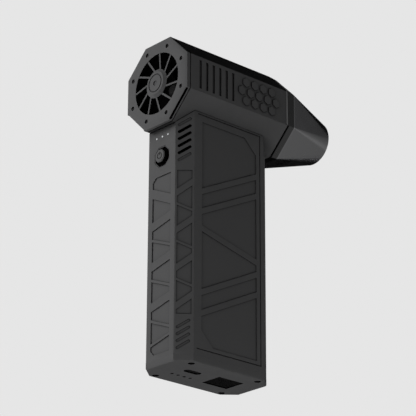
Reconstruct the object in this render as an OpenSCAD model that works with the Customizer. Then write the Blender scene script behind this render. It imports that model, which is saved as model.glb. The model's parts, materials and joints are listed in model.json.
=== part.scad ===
// Handheld car dryer blower.
// An eight-sided fan barrel with a blow-off nozzle stands across the top of an upright battery handle.
// X points along the air stream, Y to the left of it and Z up. The origin is the centre of the handle's
// flat underside, so the blower stands on the XY plane. All sizes are in millimetres.

/* [Barrel] */
// Height of the barrel's axis above the underside of the base
axis_z = 136; // [128:1:170]
// Distance across the flats of the eight-sided barrel
barrel_flats = 42.4; // [36:0.2:52]
// Length of the barrel shell, from its cover to its nozzle
barrel_len = 61.4; // [60:0.5:76]
// Wall thickness of the barrel at the middle of a flat
barrel_wall = 2; // [1.6:0.1:2.6]
// Overhang of the barrel's back end behind the handle
barrel_overhang = 1.5; // [1:0.1:4]
// Width of a groove in the barrel's side
groove_w = 1.4; // [0.8:0.1:2]
// Depth of the grooves in the barrel's side
groove_depth = 0.6; // [0.3:0.1:0.8]
// Height of the six-sided studs on the barrel's side
stud_h = 0.45; // [0.2:0.05:0.8]

/* [Intake cover] */
// Distance by which the cover's outer face is set in from the barrel's flats
cover_inset = 0.9; // [0.6:0.1:2]
// Thickness of the cover plate
cover_t = 2.1; // [1.9:0.1:3]
// Width of the cover's rim around the round air intake
rim_w = 5.2; // [4.6:0.1:6]
// Number of slanted grille spokes
spokes = 11; // [7:1:13]
// Width of one spoke
spoke_w = 0.9; // [0.8:0.1:1.6]
// Distance by which each spoke passes the axis
spoke_offset = 2.7; // [0:0.1:4]

/* [Nozzle] */
// Length of the eight-sided collar at the nozzle's root
collar_len = 4.3; // [3:0.1:8]
// Amount by which the collar narrows towards the front, measured across its flats
collar_draft = 1; // [0:0.1:2]
// Length of the tapered part of the nozzle
taper_len = 33.4; // [25:0.2:45]
// Bore radius of the nozzle's mouth
outlet_r = 9.2; // [7.6:0.1:11.1]
// Wall thickness at the nozzle's mouth
mouth_wall = 1.7; // [1.2:0.1:2.5]
// Length of the straight bore at the mouth
outlet_len = 7.4; // [5:0.2:10]

/* [Handle] */
// Size of the handle along the air stream
handle_depth = 56.2; // [54:0.2:68]
// Size of the handle across the air stream
handle_width = 30.1; // [28:0.1:36]
// Corner bevel of the handle, measured along the air stream
corner_x = 6.75; // [5:0.05:8]
// Corner bevel of the handle, measured across the air stream
corner_y = 5.8; // [4.5:0.1:6.5]
// Wall thickness of the handle
handle_wall = 2; // [1.8:0.1:2.2]
// Depth of the raised-rib pattern in the handle's faces
handle_relief = 0.4; // [0.2:0.05:0.6]
// Height of the base cap's outer band
base_h = 3.4; // [3:0.1:5]

/* [Battery] */
// Radius of a battery cell
cell_r = 10.6; // [9:0.1:10.7]
// Length of a battery cell
cell_len = 70; // [65:0.5:70]
// Centre distance of the two cells
cell_pitch = 22.4; // [21.6:0.1:22.8]

/* [Fan] */
// Thickness of the rubber rings between the barrel and the fan duct
damper_t = 1.6; // [1.2:0.1:2]
// Wall thickness of the fan duct
duct_wall = 1.8; // [1.4:0.1:2.2]
// Gap between the blade tips and the duct
tip_gap = 0.25; // [0.2:0.05:0.6]
// Number of impeller blades
blades = 9; // [7:1:13]
// Number of guide vanes behind the impeller
vanes = 7; // [5:1:9]
// Outer radius of the motor sleeve
motor_r = 9.5; // [8:0.1:11.4]
// Radius of the motor shaft
shaft_r = 1.5; // [1.2:0.1:1.6]
// Radial running clearance of the shaft in its bearings
shaft_clearance = 0.02; // [0.015:0.005:0.05]

/* [Button] */
// Distance across the flats of the power button
button_flats = 6.2; // [5.8:0.2:9.2]
// Gap between the button and its bezel
button_gap = 1.5; // [0.3:0.1:1.6]
// Height of the button's face above the handle at rest
button_proud = 1.6; // [0.8:0.1:1.8]
// Distance that the button can be pressed
button_travel = 0.5; // [0.3:0.1:0.6]

/* [Hidden] */
$fn = 72;

shell_grey = [0.20, 0.20, 0.21];
dark_grey = [0.12, 0.12, 0.13];
rubber_black = [0.05, 0.05, 0.05];
metal_grey = [0.62, 0.63, 0.65];
board_green = [0.06, 0.27, 0.18];

slack = 0.1;              // play between pieces that are fitted together by hand
seam = 0.3;               // thickness of the gaskets that show as dark seams

half_x = handle_depth / 2;
half_y = handle_width / 2;

// Stations along the barrel's axis
barrel_x0 = -half_x - barrel_overhang;
barrel_x1 = barrel_x0 + barrel_len;
cover_x1 = barrel_x0 - seam;
cover_x0 = cover_x1 - cover_t;
collar_x0 = barrel_x1 + seam;
collar_x1 = collar_x0 + collar_len;
mouth_x = collar_x1 + taper_len;
mouth_r = outlet_r + mouth_wall;
outlet_x0 = mouth_x - outlet_len;

// Radii inside the barrel, from its wall inwards
barrel_bore_r = barrel_flats / 2 - barrel_wall;
duct_outer_r = barrel_bore_r - damper_t;
duct_r = duct_outer_r - duct_wall;
intake_r = barrel_flats / 2 - cover_inset - rim_w;

flange_len = 6.6;         // rear flange of the barrel, which takes the cover's screws
flange_r = intake_r + 0.4;
duct_x0 = barrel_x0 + flange_len;
duct_x1 = barrel_x1 - 3.8;

// Height of the barrel's underside at the distance y from its middle
function barrel_under(y) = axis_z - min(barrel_flats / 2, barrel_flats / sqrt(2) - y);

// Cover: its outer edge is bevelled, and its screws stand on a circle between the intake and the flats
cover_bevel = 0.35;       // of its edge, measured along the axis
cover_screw_r = barrel_flats / 2 - 2.8;
cover_head_r = 0.95;
cover_head_h = 0.9;
cover_shank_r = 0.7;
cover_screw_len = 5;
cover_sink = 1.4;         // depth of the counterbores
pry_slot_x = cover_x0 + 0.2;
pry_slot_w = 1;
pry_slot_len = 2 * (barrel_flats / 2 - cover_inset) * tan(22.5) - 0.2;
grille_sink = 0.1;        // spokes lie this far below the cover's face
grille_t = 0.9;
hub_proud = 1;
hub_top_r = 6.1;
hub_foot_r = 7.1;
hub_ring_r = 4.6;         // shallow ring groove in the hub's face
hub_ring_w = 0.6;
hub_ring_depth = 0.3;
hub_dimple_r = 1.2;

// Grooves, studs and front bead on the barrel's sides
groove_count = 6;
groove_step = 4.06;
groove_x0 = barrel_x0 + 5.3;
groove_h = 14.2;
stud_flats = 4;
stud_step = 5.5;
stud_x = barrel_x1 - 18.8;
stud_rows = [4, 5, 4];
bead_w = 0.7;
bead_h = 0.35;

// Fan and motor stations
impeller_x0 = duct_x0 + 1.5;
impeller_len = 12;
motor_x0 = impeller_x0 + impeller_len + 1;
sleeve_wall = 1.1;
sleeve_r = motor_r - sleeve_wall;
end_wall = 1.2;
bearing_r = 3.5;
bearing_w = 3;
bearing_boss_r = 4.6;
bearing_x0 = motor_x0 + end_wall;
core_x0 = bearing_x0 + bearing_w + 3.3;
core_len = 10;
coil_over = 1.2;          // overhang of a coil past the core
coil_x1 = core_x0 + core_len + coil_over;
rear_bearing_x0 = coil_x1 + 1;
end_cap_x0 = rear_bearing_x0 + bearing_w;
motor_x1 = end_cap_x0 + end_wall;
shaft_x0 = impeller_x0 + 0.5;
shaft_x1 = end_cap_x0 + 0.4;
tooth_r = 4.3;
tooth_w = 2;
core_rim = 1.1;
coils = 6;
coil_r0 = 4.9;
coil_w = 4.2;
magnet_r = 3.9;
tail_len = 13.5;
vane_len = 12;

// Motor leads: three wires side by side that cross the duct in a hollow strut
lead_r = 0.35;
lead_step = 0.8;
lead_x0 = coil_x1 + 1;
lead_depth = 5.95;        // of the middle lead below the barrel's axis, at the end of a coil
lead_slot_len = 2 * lead_step + 2 * lead_r + 0.3;
lead_slot_w = 2 * lead_r + 0.3;
lead_slot_x = lead_x0 + lead_step;

// Handle
handle_top = barrel_under(0);
side_edge_z = barrel_under(half_y);
corner_len = sqrt(corner_x * corner_x + corner_y * corner_y);
corner_angle = atan2(corner_y, corner_x);
skirt_wall = 1.3;
skirt_h = 3;
base_plate_t = 2;
base_bevel = 0.5;
base_screw_x = half_x - 8.2;
base_screw_y = half_y - 3;
base_head_r = 1.4;
base_head_h = 1.3;
base_shank_r = 1;
base_screw_len = 11;
base_sink = 1.9;
boss_r = 2.4;
boss_h = 11;
tongue_t = 1.5;
tongue_len = 28;
tongue_x0 = -8;
tongue_h = 14;

// Things in the base
port_x = -11.2;
port_y = -2.9;
port_shell_len = 8.94;
port_shell_w = 3.26;
port_clearance = 0.15;
port_wall = 0.3;
port_depth = 0.6;         // of the socket's end below the base's underside
port_tongue_depth = 1.4;
gauge_y = 4.7;
gauge_step = 3.6;
gauge_r = 0.75;
vent_x = 9.7;
vent_len = 14.8;
vent_w = 11.6;
mesh_step = 1.4;
mesh_hole = 1.0;
board_t = 1.2;
charge_board_z = 9.3;
charge_board_x0 = -half_x + handle_wall + 1.6;
charge_board_x1 = 0.4;

// Battery and boards, stacked from the base up
lower_holder_z = 11.8;
holder_t = 2.2;
holder_lip = 4;           // overlap of a cell holder and the cells' ends
holder_gap = 0.3;
strap_t = 0.2;
strap_w = 7;
cell_z0 = lower_holder_z + holder_t + holder_gap;
cell_z1 = cell_z0 + cell_len;
upper_holder_z = cell_z1 + holder_gap;
upper_holder_top = upper_holder_z + 3;
speed_board_z = upper_holder_top + 4.5;
speed_board_x0 = -14;
speed_board_len = 36;
speed_board_w = 21;
control_board_x = -half_x + 6.2;
control_board_w = 17;
control_board_z1 = handle_top - 2;
charge_lead_x = control_board_x - 1.5;
charge_lead_r = 0.6;
charge_lead_top = upper_holder_top + 4;

// Button and lights on the back of the handle, hung from its top
lights_z = handle_top - 4.5;
lights_step = 3.9;
light_r = 0.5;
button_z = handle_top - 14.5;
recess_depth = 1.6;
bezel_wall = 0.5;
bezel_floor = 0.5;
bezel_sunk = 0.15;
recess_flats = button_flats + 2 * (button_gap + bezel_wall);
stem_r = 1.8;
button_boss_flats = recess_flats + 3.8;
button_boss_x1 = -half_x + 3.3;
button_flange_r = 2.8;
button_flange_t = 0.5;
button_end_x = button_boss_x1 + slack + button_flange_t;
switch_w = 5.2;
switch_t = 1.5;
switch_bore = 1.2;        // depth of the switch's bore
plunger_r = 1.2;

// Ribbed pattern on the handle: u runs across a face, z up
vent_slot_len = 7.3;
vent_slot_w = 1.4;
vent_slot_angle = 32;
vent_slot_step = 3.5;
vent_slot_z = handle_top - 17.5;
foot_slot_z = 7.8;
foot_slot_step = 3.2;
relief_top = handle_top - 24;
relief_foot = 5.7;
bevel_u0 = 0.95;
bevel_u1 = corner_len - 1.05;
rear_u = half_y - 8.8;
side_u = half_x - 11.3;
side_foot = 8.4;
side_top = side_edge_z - 5;
side_cut = 7;
rib_slope = 0.49;
rib_drop = -0.24;
rib_t = 2.9;
frame_groove_x = half_x - 8.6;
frame_groove_w = 0.5;
frame_groove_foot = 6.2;
frame_groove_top = side_edge_z - 1.8;

// ---------- shared shapes ----------

module octagon(flats) rotate(22.5) circle(d = flats / cos(22.5), $fn = 8);

module octo_bar(x0, x1, flats)
    translate([x0, 0, axis_z]) rotate([0, 90, 0]) linear_extrude(x1 - x0) octagon(flats);

module bar_x(x0, x1, r)
    translate([x0, 0, axis_z]) rotate([0, 90, 0]) cylinder(h = x1 - x0, r = r);

// A turned piece: the profile's points are [radius, x]
module turned(profile)
    translate([0, 0, axis_z]) rotate([0, 90, 0]) rotate_extrude() polygon(profile);

// Copies turned about the barrel's axis; angle 0 lies along Y, and 90 points up
module around_axis(count, start = 0)
    for (i = [0 : count - 1]) translate([0, 0, axis_z]) rotate([start + i * 360 / count, 0, 0]) children();

module mirror_y() {
    children();
    mirror([0, 1, 0]) children();
}

// The handle's outline, a rectangle with four bevelled corners, moved inwards by inset
module handle_outline(inset = 0) {
    hx = half_x - inset;
    hy = half_y - inset;
    corner = corner_x * corner_y + inset * (corner_len - corner_x - corner_y);
    cx = corner / corner_y;
    cy = corner / corner_x;
    polygon([[hx, cy - hy], [hx, hy - cy], [hx - cx, hy], [cx - hx, hy],
             [-hx, hy - cy], [-hx, cy - hy], [cx - hx, -hy], [hx - cx, -hy]]);
}

// Cuts a flat pattern into an upright face: u runs along the face from origin, v is the height
module face_cut(origin, angle, depth)
    translate([origin[0], origin[1], 0]) rotate([0, 0, angle]) translate([0, depth, 0])
        rotate([90, 0, 0]) linear_extrude(depth + 1) children();

module on_rear(depth) face_cut([-half_x, 0], -90, depth) children();
module on_side(depth) face_cut([0, -half_y], 0, depth) children();
module on_bevel(depth) face_cut([-half_x, corner_y - half_y], -corner_angle, depth) children();

// A four-sided pocket between two borders, with its top and foot heights at each
module pocket(u0, u1, top0, foot0, top1, foot1)
    polygon([[u0, foot0], [u1, foot1], [u1, top1], [u0, top0]]);

// A slot with round ends
module slot(len, w) {
    square([len - w, w], center = true);
    for (side = [-1, 1]) translate([side * (len - w) / 2, 0]) circle(d = w, $fn = 24);
}

// A round wire along straight runs, with a ball at each bend
module wire(points, r) {
    for (i = [0 : len(points) - 2]) {
        run = points[i + 1] - points[i];
        translate(points[i]) rotate([0, acos(run[2] / norm(run)), atan2(run[1], run[0])])
            cylinder(h = norm(run), r = r, $fn = 24);
    }
    if (len(points) > 2)
        for (i = [1 : len(points) - 2]) translate(points[i]) sphere(r = r, $fn = 24);
}

module board(x0, len, w, z, t = board_t)
    translate([x0, -w / 2, z]) cube([len, w, t]);

// ---------- intake cover ----------

module cover_screw_places() around_axis(8, 22.5) translate([0, cover_screw_r, 0]) children();

module cover_blank() {
    body = barrel_flats / 2;
    outer = body - cover_inset;
    translate([0, 0, axis_z]) intersection_for (i = [0 : 3])
        rotate([45 * i, 0, 0]) rotate([90, 0, 0]) linear_extrude(2 * barrel_flats, center = true)
            polygon([[cover_x0, -outer], [cover_x0 + cover_bevel, -body], [cover_x1, -body],
                     [cover_x1, body], [cover_x0 + cover_bevel, body], [cover_x0, outer]]);
}

// A slot in the bevel of a lower corner flat, where a blade lifts the cover off
module pry_slot() translate([pry_slot_x, 0, axis_z]) rotate([45, 0, 0])
    translate([0, -barrel_flats / 2 - 1, -pry_slot_len / 2]) cube([pry_slot_w, 2.3, pry_slot_len]);

module hub_face_cuts() {
    face = cover_x0 - hub_proud;
    difference() {
        bar_x(face - 1, face + hub_ring_depth, hub_ring_r);
        bar_x(face - 2, face + 1, hub_ring_r - hub_ring_w);
    }
    bar_x(face - 1, face + hub_ring_depth, hub_dimple_r);
}

module rear_cover() color(shell_grey) difference() {
    union() {
        difference() {
            cover_blank();
            bar_x(cover_x0 - 1, cover_x1 + 1, intake_r);
        }
        intersection() {
            around_axis(spokes, 86.2) translate([cover_x0 + grille_sink, 0, spoke_offset - spoke_w / 2])
                cube([grille_t, intake_r + 2, spoke_w]);
            bar_x(cover_x0 + grille_sink, cover_x0 + grille_sink + grille_t, intake_r + 0.5);
        }
        turned([[0, cover_x0 - hub_proud], [hub_top_r - 0.4, cover_x0 - hub_proud],
                [hub_top_r, cover_x0 - hub_proud + 0.4], [hub_foot_r, cover_x0 + grille_sink],
                [hub_foot_r, cover_x0 + grille_sink + grille_t], [0, cover_x0 + grille_sink + grille_t]]);
    }
    hub_face_cuts();
    mirror_y() pry_slot();
    cover_screw_places() {
        translate([cover_x0 - 1, 0, 0]) rotate([0, 90, 0]) {
            cylinder(h = cover_t + 2, r = cover_shank_r + 0.05);
            cylinder(h = cover_sink + 1, r = cover_head_r + slack);
        }
    }
}

module cover_screws() color(dark_grey) cover_screw_places() rotate([0, 90, 0]) difference() {
    union() {
        translate([0, 0, cover_x0 + cover_sink - cover_head_h]) cylinder(h = cover_head_h, r = cover_head_r);
        translate([0, 0, cover_x0 + cover_sink - 0.2]) cylinder(h = cover_screw_len, r = cover_shank_r);
    }
    translate([0, 0, cover_x0 + cover_sink - cover_head_h - 0.1]) cylinder(h = 0.6, r = 0.45, $fn = 6);
}

module cover_gasket() color(rubber_black) difference() {
    octo_bar(cover_x1, barrel_x0, barrel_flats - 1.2);
    bar_x(cover_x1 - 1, barrel_x0 + 1, flange_r);
    cover_screw_places() rotate([0, 90, 0]) translate([0, 0, cover_x1 - 1])
        cylinder(h = seam + 2, r = cover_shank_r + 0.05);
}

// ---------- barrel ----------

module barrel_studs() {
    row_h = stud_step * sin(60);
    for (row = [-1 : 1]) {
        count = stud_rows[row + 1];
        x0 = stud_x - (count - 1) / 2 * stud_step;
        for (i = [0 : count - 1])
            translate([x0 + i * stud_step, 0.5 - barrel_flats / 2, axis_z + row * row_h])
                rotate([90, 30, 0]) cylinder(h = stud_h + 0.5, d = stud_flats / cos(30), $fn = 6);
    }
}

// A raised bead along the front edge of the barrel's side, with a sloped back
module front_bead()
    translate([0, 1 - barrel_flats / 2, axis_z]) linear_extrude(barrel_flats * tan(22.5) - 0.2, center = true)
        polygon([[barrel_x1 - bead_w, 0], [barrel_x1 - bead_w, -1], [barrel_x1 - bead_w / 2, -1 - bead_h],
                 [barrel_x1 - 0.1, -1 - bead_h], [barrel_x1 - 0.1, 0]]);

// A tongue under the barrel that grips the inside of the handle's wall
module handle_tongue() {
    outer = half_y - handle_wall - 0.02;
    foot = handle_top - tongue_h;
    translate([tongue_x0, outer - tongue_t, foot]) cube([tongue_len, tongue_t, barrel_under(outer) - foot]);
}

module lead_slot(r0, r1)
    translate([lead_slot_x - lead_slot_len / 2, -lead_slot_w / 2, axis_z - r1])
        cube([lead_slot_len, lead_slot_w, r1 - r0]);

module barrel_housing() color(shell_grey) difference() {
    union() {
        octo_bar(barrel_x0, barrel_x1, barrel_flats);
        mirror_y() {
            barrel_studs();
            front_bead();
            handle_tongue();
        }
    }
    bar_x(barrel_x0 - 1, duct_x0 + 1, flange_r);
    bar_x(duct_x0, barrel_x1 + 1, barrel_bore_r);
    mirror_y() for (i = [0 : groove_count - 1])
        translate([groove_x0 + i * groove_step, -barrel_flats / 2 - 1, axis_z - groove_h / 2])
            cube([groove_w, groove_depth + 1, groove_h]);
    cover_screw_places() rotate([0, 90, 0]) translate([0, 0, barrel_x0 - 1])
        cylinder(h = cover_screw_len, r = cover_shank_r + 0.05);
    lead_slot(motor_r, barrel_flats);
}

module nozzle_gasket() color(rubber_black) difference() {
    octo_bar(barrel_x1, collar_x0, barrel_flats - 1.2);
    bar_x(barrel_x1 - 1, collar_x0 + 1, barrel_bore_r);
}

// ---------- nozzle ----------

module nozzle() color(shell_grey) {
    spigot_x0 = duct_x1 + 0.5;
    spigot_r = duct_outer_r;
    difference() {
        union() {
            bar_x(spigot_x0, collar_x0 + 1, barrel_bore_r - slack);
            hull() {
                octo_bar(collar_x0, collar_x0 + 0.2, barrel_flats);
                octo_bar(collar_x1 - 0.2, collar_x1, barrel_flats - collar_draft);
                translate([mouth_x - 0.2, 0, axis_z]) rotate([0, 90, 0])
                    cylinder(h = 0.2, r = mouth_r, $fn = 96);
            }
        }
        turned([[0, spigot_x0 - 1], [spigot_r, spigot_x0 - 1], [spigot_r, collar_x0], [outlet_r, outlet_x0],
                [outlet_r, mouth_x + 1], [0, mouth_x + 1]]);
    }
}

// ---------- fan and motor ----------

module fan_duct() color(metal_grey) difference() {
    bar_x(duct_x0, duct_x1, duct_outer_r);
    bar_x(duct_x0 - 1, duct_x1 + 1, duct_r);
    lead_slot(motor_r, barrel_flats / 2);
}

module damper_rings() color(rubber_black) for (x = [duct_x0 + 3, duct_x1 - 7]) difference() {
    bar_x(x, x + 4, barrel_bore_r);
    bar_x(x - 1, x + 5, duct_outer_r);
}

module slanted_blades(count, x0, len, root_r, tip_r, angle, t) {
    intersection() {
        around_axis(count) translate([x0 + len / 2, 0, (root_r + tip_r) / 2])
            rotate([0, 0, angle]) cube([2 * len, t, tip_r - root_r + 2], center = true);
        difference() {
            bar_x(x0, x0 + len, tip_r);
            bar_x(x0 - 1, x0 + len + 1, root_r);
        }
    }
}

module impeller() color(metal_grey) difference() {
    union() {
        turned([[0, impeller_x0 - 1], [2.6, impeller_x0 - 1], [5.2, impeller_x0 + 1.5], [7.6, impeller_x0 + 6],
                [motor_r, impeller_x0 + impeller_len], [0, impeller_x0 + impeller_len]]);
        slanted_blades(blades, impeller_x0 + 1, impeller_len - 2, 4.5, duct_r - tip_gap, 38, 0.9);
    }
    bar_x(shaft_x0, impeller_x0 + impeller_len + 1, shaft_r);
}

module motor_shaft() color(metal_grey) bar_x(shaft_x0, shaft_x1, shaft_r);

module rotor_magnet() color(dark_grey) difference() {
    bar_x(core_x0, core_x0 + core_len, magnet_r);
    bar_x(core_x0 - 1, core_x0 + core_len + 1, shaft_r);
}

module motor_bearings() color(metal_grey) for (x = [bearing_x0, rear_bearing_x0]) difference() {
    bar_x(x, x + bearing_w, bearing_r);
    bar_x(x - 1, x + bearing_w + 1, shaft_r + shaft_clearance);
}

module core_sheet() difference() {
    union() {
        difference() {
            circle(r = sleeve_r);
            circle(r = sleeve_r - core_rim);
        }
        for (i = [0 : coils - 1])
            rotate(i * 360 / coils) translate([0, -tooth_w / 2]) square([sleeve_r - 0.5, tooth_w]);
    }
    circle(r = tooth_r);
}

module stator_core() color(metal_grey)
    translate([core_x0, 0, axis_z]) rotate([0, 90, 0]) linear_extrude(core_len) core_sheet();

module stator_windings() color([0.72, 0.36, 0.16]) around_axis(coils, 30) difference() {
    translate([core_x0 - coil_over, coil_r0, -coil_w / 2])
        cube([core_len + 2 * coil_over, sleeve_r - core_rim - 0.5 - coil_r0, coil_w]);
    translate([core_x0, 0, -tooth_w / 2 - 0.05]) cube([core_len, sleeve_r, tooth_w + 0.1]);
}

module motor_frame() color(dark_grey) difference() {
    union() {
        bar_x(motor_x0, motor_x1, motor_r);
        slanted_blades(vanes, motor_x0 + 2, vane_len, motor_r - 0.3, duct_r, -24, 1);
        intersection() {
            translate([lead_slot_x - lead_slot_len / 2 - 0.8, -lead_slot_w / 2 - 0.7, axis_z - duct_r])
                cube([lead_slot_len + 1.6, lead_slot_w + 1.4, duct_r - motor_r + 0.5]);
            bar_x(motor_x0, motor_x1 + 5, duct_r);
        }
    }
    difference() {
        bar_x(bearing_x0, motor_x1 + 1, sleeve_r);
        bar_x(bearing_x0 - 1, bearing_x0 + bearing_w, bearing_boss_r);
    }
    bar_x(bearing_x0, bearing_x0 + bearing_w + 1, bearing_r);
    bar_x(motor_x0 - 1, bearing_x0 + 1, bearing_r - 1);
    lead_slot(sleeve_r - 1, duct_r + 1);
}

module motor_end_cap() color(dark_grey) difference() {
    union() {
        bar_x(end_cap_x0, motor_x1, sleeve_r);
        bar_x(rear_bearing_x0, end_cap_x0 + 0.5, bearing_boss_r);
    }
    bar_x(rear_bearing_x0 - 1, end_cap_x0, bearing_r);
    bar_x(end_cap_x0 - 0.5, motor_x1 + 1, bearing_r - 1);
}

module tail_cone() color(dark_grey) {
    x1 = motor_x1 + tail_len;
    turned([[motor_r, motor_x1], [motor_r - 1.2, motor_x1 + 4], [6, motor_x1 + 8.5], [2, x1], [0, x1],
            [0, x1 - 1.6], [4.6, motor_x1 + 8.3], [motor_r - 2.4, motor_x1 + 3.6], [motor_r - 1.2, motor_x1]]);
}

module motor_leads() color([0.55, 0.10, 0.08]) for (i = [0 : 2]) {
    x = lead_x0 + i * lead_step;
    z = axis_z - lead_depth + (i - 1) * lead_step;
    wire([[coil_x1, 0, z], [x, 0, z], [x, 0, speed_board_z + board_t]], lead_r);
}

// ---------- handle ----------

module bevel_slots(z0, step, first, last)
    for (i = [first : last]) translate([corner_len / 2 - 0.25, z0 + i * step])
        rotate(vent_slot_angle) slot(vent_slot_len, vent_slot_w);

// Slanted rib pattern of a bevelled corner: bays of two pockets, each bay one pitch high
module bevel_pattern() {
    bays = 3;
    top = relief_top - 9.2;
    pitch = (top - 27.4) / bays;
    pocket(bevel_u0, bevel_u1, relief_top, top, relief_top, top + 5.1);
    for (i = [0 : bays - 1]) {
        z = top - i * pitch;
        pocket(bevel_u0, bevel_u1, z - 3.4, z - 6.6, z + 1.7, z - 9.6);
        pocket(bevel_u0, bevel_u1, z - 7.8, z - pitch, z - 10.8, z - pitch + 5.1);
    }
    pocket(bevel_u0, bevel_u1, 24, 21.9, 29.1, 21.9);
}

module rear_pattern() {
    bays = 3;
    top = relief_top - 21.6;
    pitch = (top - 11.3) / bays;
    corner = 2.2;
    polygon([[-rear_u, relief_top - 5], [rear_u, relief_top - 10.7], [rear_u, relief_top],
             [corner - rear_u, relief_top], [-rear_u, relief_top - corner]]);
    pocket(-rear_u, rear_u, relief_top - 9.7, top, relief_top - 15.5, top + 2.8);
    for (i = [0 : bays - 1]) {
        z = top - i * pitch;
        pocket(-rear_u, rear_u, z - 4.1, z - 7.9, z - 1.3, z - 12.9);
        pocket(-rear_u, rear_u, z - 9.2, z - pitch, z - 14.2, z - pitch + 2.8);
    }
    polygon([[-rear_u, relief_foot + corner], [corner - rear_u, relief_foot], [rear_u, relief_foot],
             [rear_u, 12.9], [-rear_u, 10]]);
}

// Height of a slanted rib's lower edge at the side face's left and right border
function rib_edge(middle, slope) = [middle - slope * side_u, middle + slope * side_u];

module rib_pocket(top, foot) pocket(-side_u, side_u, top[0], foot[0], top[1], foot[1]);

module side_pattern() {
    rib_a = rib_edge(side_top - 27.6, rib_slope);
    rib_b = rib_edge(side_top - 37.3, rib_slope);
    rib_c = rib_edge(side_top - 57.8, rib_drop);
    rib_d = rib_edge(side_foot + 31.6, rib_slope);
    rib_e = rib_edge(side_foot + 21.8, rib_slope);
    up = [rib_t, rib_t];
    polygon([[-side_u, rib_a[0] + rib_t], [side_u, rib_a[1] + rib_t], [side_u, side_top - side_cut],
             [side_u - side_cut, side_top], [-side_u, side_top]]);
    rib_pocket(rib_a, rib_b + up);
    rib_pocket(rib_b, rib_c + up);
    rib_pocket(rib_c, rib_d + up);
    rib_pocket(rib_d, rib_e + up);
    polygon([[-side_u, rib_e[0]], [-side_u, side_foot + side_cut], [side_cut - side_u, side_foot],
             [side_u, side_foot], [side_u, rib_e[1]]]);
}

module frame_groove() {
    for (z = [frame_groove_foot, frame_groove_top])
        translate([-frame_groove_x, z]) square([2 * frame_groove_x, frame_groove_w]);
    translate([frame_groove_x - frame_groove_w, frame_groove_foot])
        square([frame_groove_w, frame_groove_top - frame_groove_foot]);
}

module base_screw_places(z)
    for (x = [-1, 1], y = [-1, 1]) translate([x * base_screw_x, y * base_screw_y, z]) children();

module handle_housing() color(shell_grey) difference() {
    union() {
        difference() {
            translate([0, 0, base_h]) linear_extrude(axis_z - 10 - base_h) handle_outline();
            translate([0, 0, base_h - 1]) linear_extrude(axis_z) handle_outline(handle_wall);
        }
        intersection() {
            base_screw_places(base_h) cylinder(h = boss_h, r = boss_r);
            linear_extrude(axis_z) handle_outline(handle_wall / 2);
        }
        translate([-half_x + handle_wall / 2, 0, button_z]) rotate([0, 90, 0])
            linear_extrude(button_boss_x1 + half_x - handle_wall / 2) octagon(button_boss_flats);
    }
    octo_bar(-half_x - 1, half_x + 1, barrel_flats);
    intersection() {
        octo_bar(-half_x - 1, half_x + 1, barrel_flats + 0.8);
        linear_extrude(axis_z) difference() {
            handle_outline(-1);
            handle_outline(1);
        }
    }
    base_screw_places(base_h - 1) cylinder(h = base_screw_len, r = base_shank_r + 0.05);
    on_rear(handle_relief) rear_pattern();
    mirror_y() {
        on_side(handle_relief) side_pattern();
        on_side(handle_relief) frame_groove();
        on_bevel(handle_relief) bevel_pattern();
        on_bevel(handle_relief) bevel_slots(vent_slot_z, vent_slot_step, 0, 5);
        on_bevel(handle_wall + 3) bevel_slots(vent_slot_z, vent_slot_step, 1, 4);
        on_bevel(handle_relief) bevel_slots(foot_slot_z, foot_slot_step, 0, 3);
    }
    on_rear(recess_depth) translate([0, button_z]) octagon(recess_flats);
    on_rear(6) translate([0, button_z]) circle(r = stem_r + slack);
    on_rear(handle_wall + 1) for (i = [-1 : 1])
        translate([i * lights_step, lights_z]) circle(r = light_r + 0.02);
}

module port_outline(grow) translate([port_x, port_y]) slot(port_shell_len + 2 * grow, port_shell_w + 2 * grow);

module gauge_places() for (i = [0 : 3]) translate([port_x + (i - 1.5) * gauge_step, gauge_y]) children();

module base_cap() color(shell_grey) difference() {
    union() {
        hull() {
            linear_extrude(base_bevel) handle_outline(base_bevel);
            translate([0, 0, base_bevel]) linear_extrude(base_h - base_bevel) handle_outline();
        }
        translate([0, 0, base_h - 0.5]) linear_extrude(skirt_h + 0.5) difference() {
            handle_outline(handle_wall + slack);
            base_screw_places(0) circle(r = boss_r + slack);
        }
    }
    translate([0, 0, base_plate_t]) linear_extrude(base_h + skirt_h) difference() {
        handle_outline(handle_wall + skirt_wall);
        base_screw_places(0) circle(r = boss_r + 0.6);
    }
    translate([0, 0, base_h]) linear_extrude(skirt_h + 1) base_screw_places(0) circle(r = boss_r + slack);
    base_screw_places(-1) cylinder(h = base_h + 2, r = base_shank_r + 0.05);
    base_screw_places(-1) cylinder(h = base_sink + 1, r = base_head_r + 0.15);
    translate([0, 0, -1]) linear_extrude(base_plate_t + 2) {
        port_outline(port_clearance);
        gauge_places() circle(r = gauge_r + 0.02);
        translate([vent_x, 0]) square([vent_len, vent_w], center = true);
    }
}

module base_screws() color(dark_grey) base_screw_places(base_sink - base_head_h) difference() {
    union() {
        cylinder(h = base_head_h, r = base_head_r);
        cylinder(h = base_screw_len, r = base_shank_r);
    }
    translate([0, 0, -0.1]) cylinder(h = 0.8, r = 0.75, $fn = 6);
}

module base_vent_mesh() color(rubber_black) translate([vent_x, 0, 0.6]) linear_extrude(0.6) difference() {
    square([vent_len, vent_w], center = true);
    columns = floor((vent_len - 0.6) / mesh_step);
    rows = floor((vent_w - 0.6) / mesh_step);
    for (i = [0 : columns - 1], j = [0 : rows - 1])
        translate([(i - (columns - 1) / 2) * mesh_step, (j - (rows - 1) / 2) * mesh_step])
            square(mesh_hole, center = true);
}

module usb_socket() color(metal_grey)
    translate([0, 0, port_depth]) linear_extrude(charge_board_z - port_depth) difference() {
        port_outline(0);
        port_outline(-port_wall);
    }

module usb_tongue() color(rubber_black) translate([port_x, port_y, port_tongue_depth])
    linear_extrude(charge_board_z - port_tongue_depth) square([6.7, 0.7], center = true);

module charging_board() color(board_green)
    board(charge_board_x0, charge_board_x1 - charge_board_x0, 15, charge_board_z);

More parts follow.
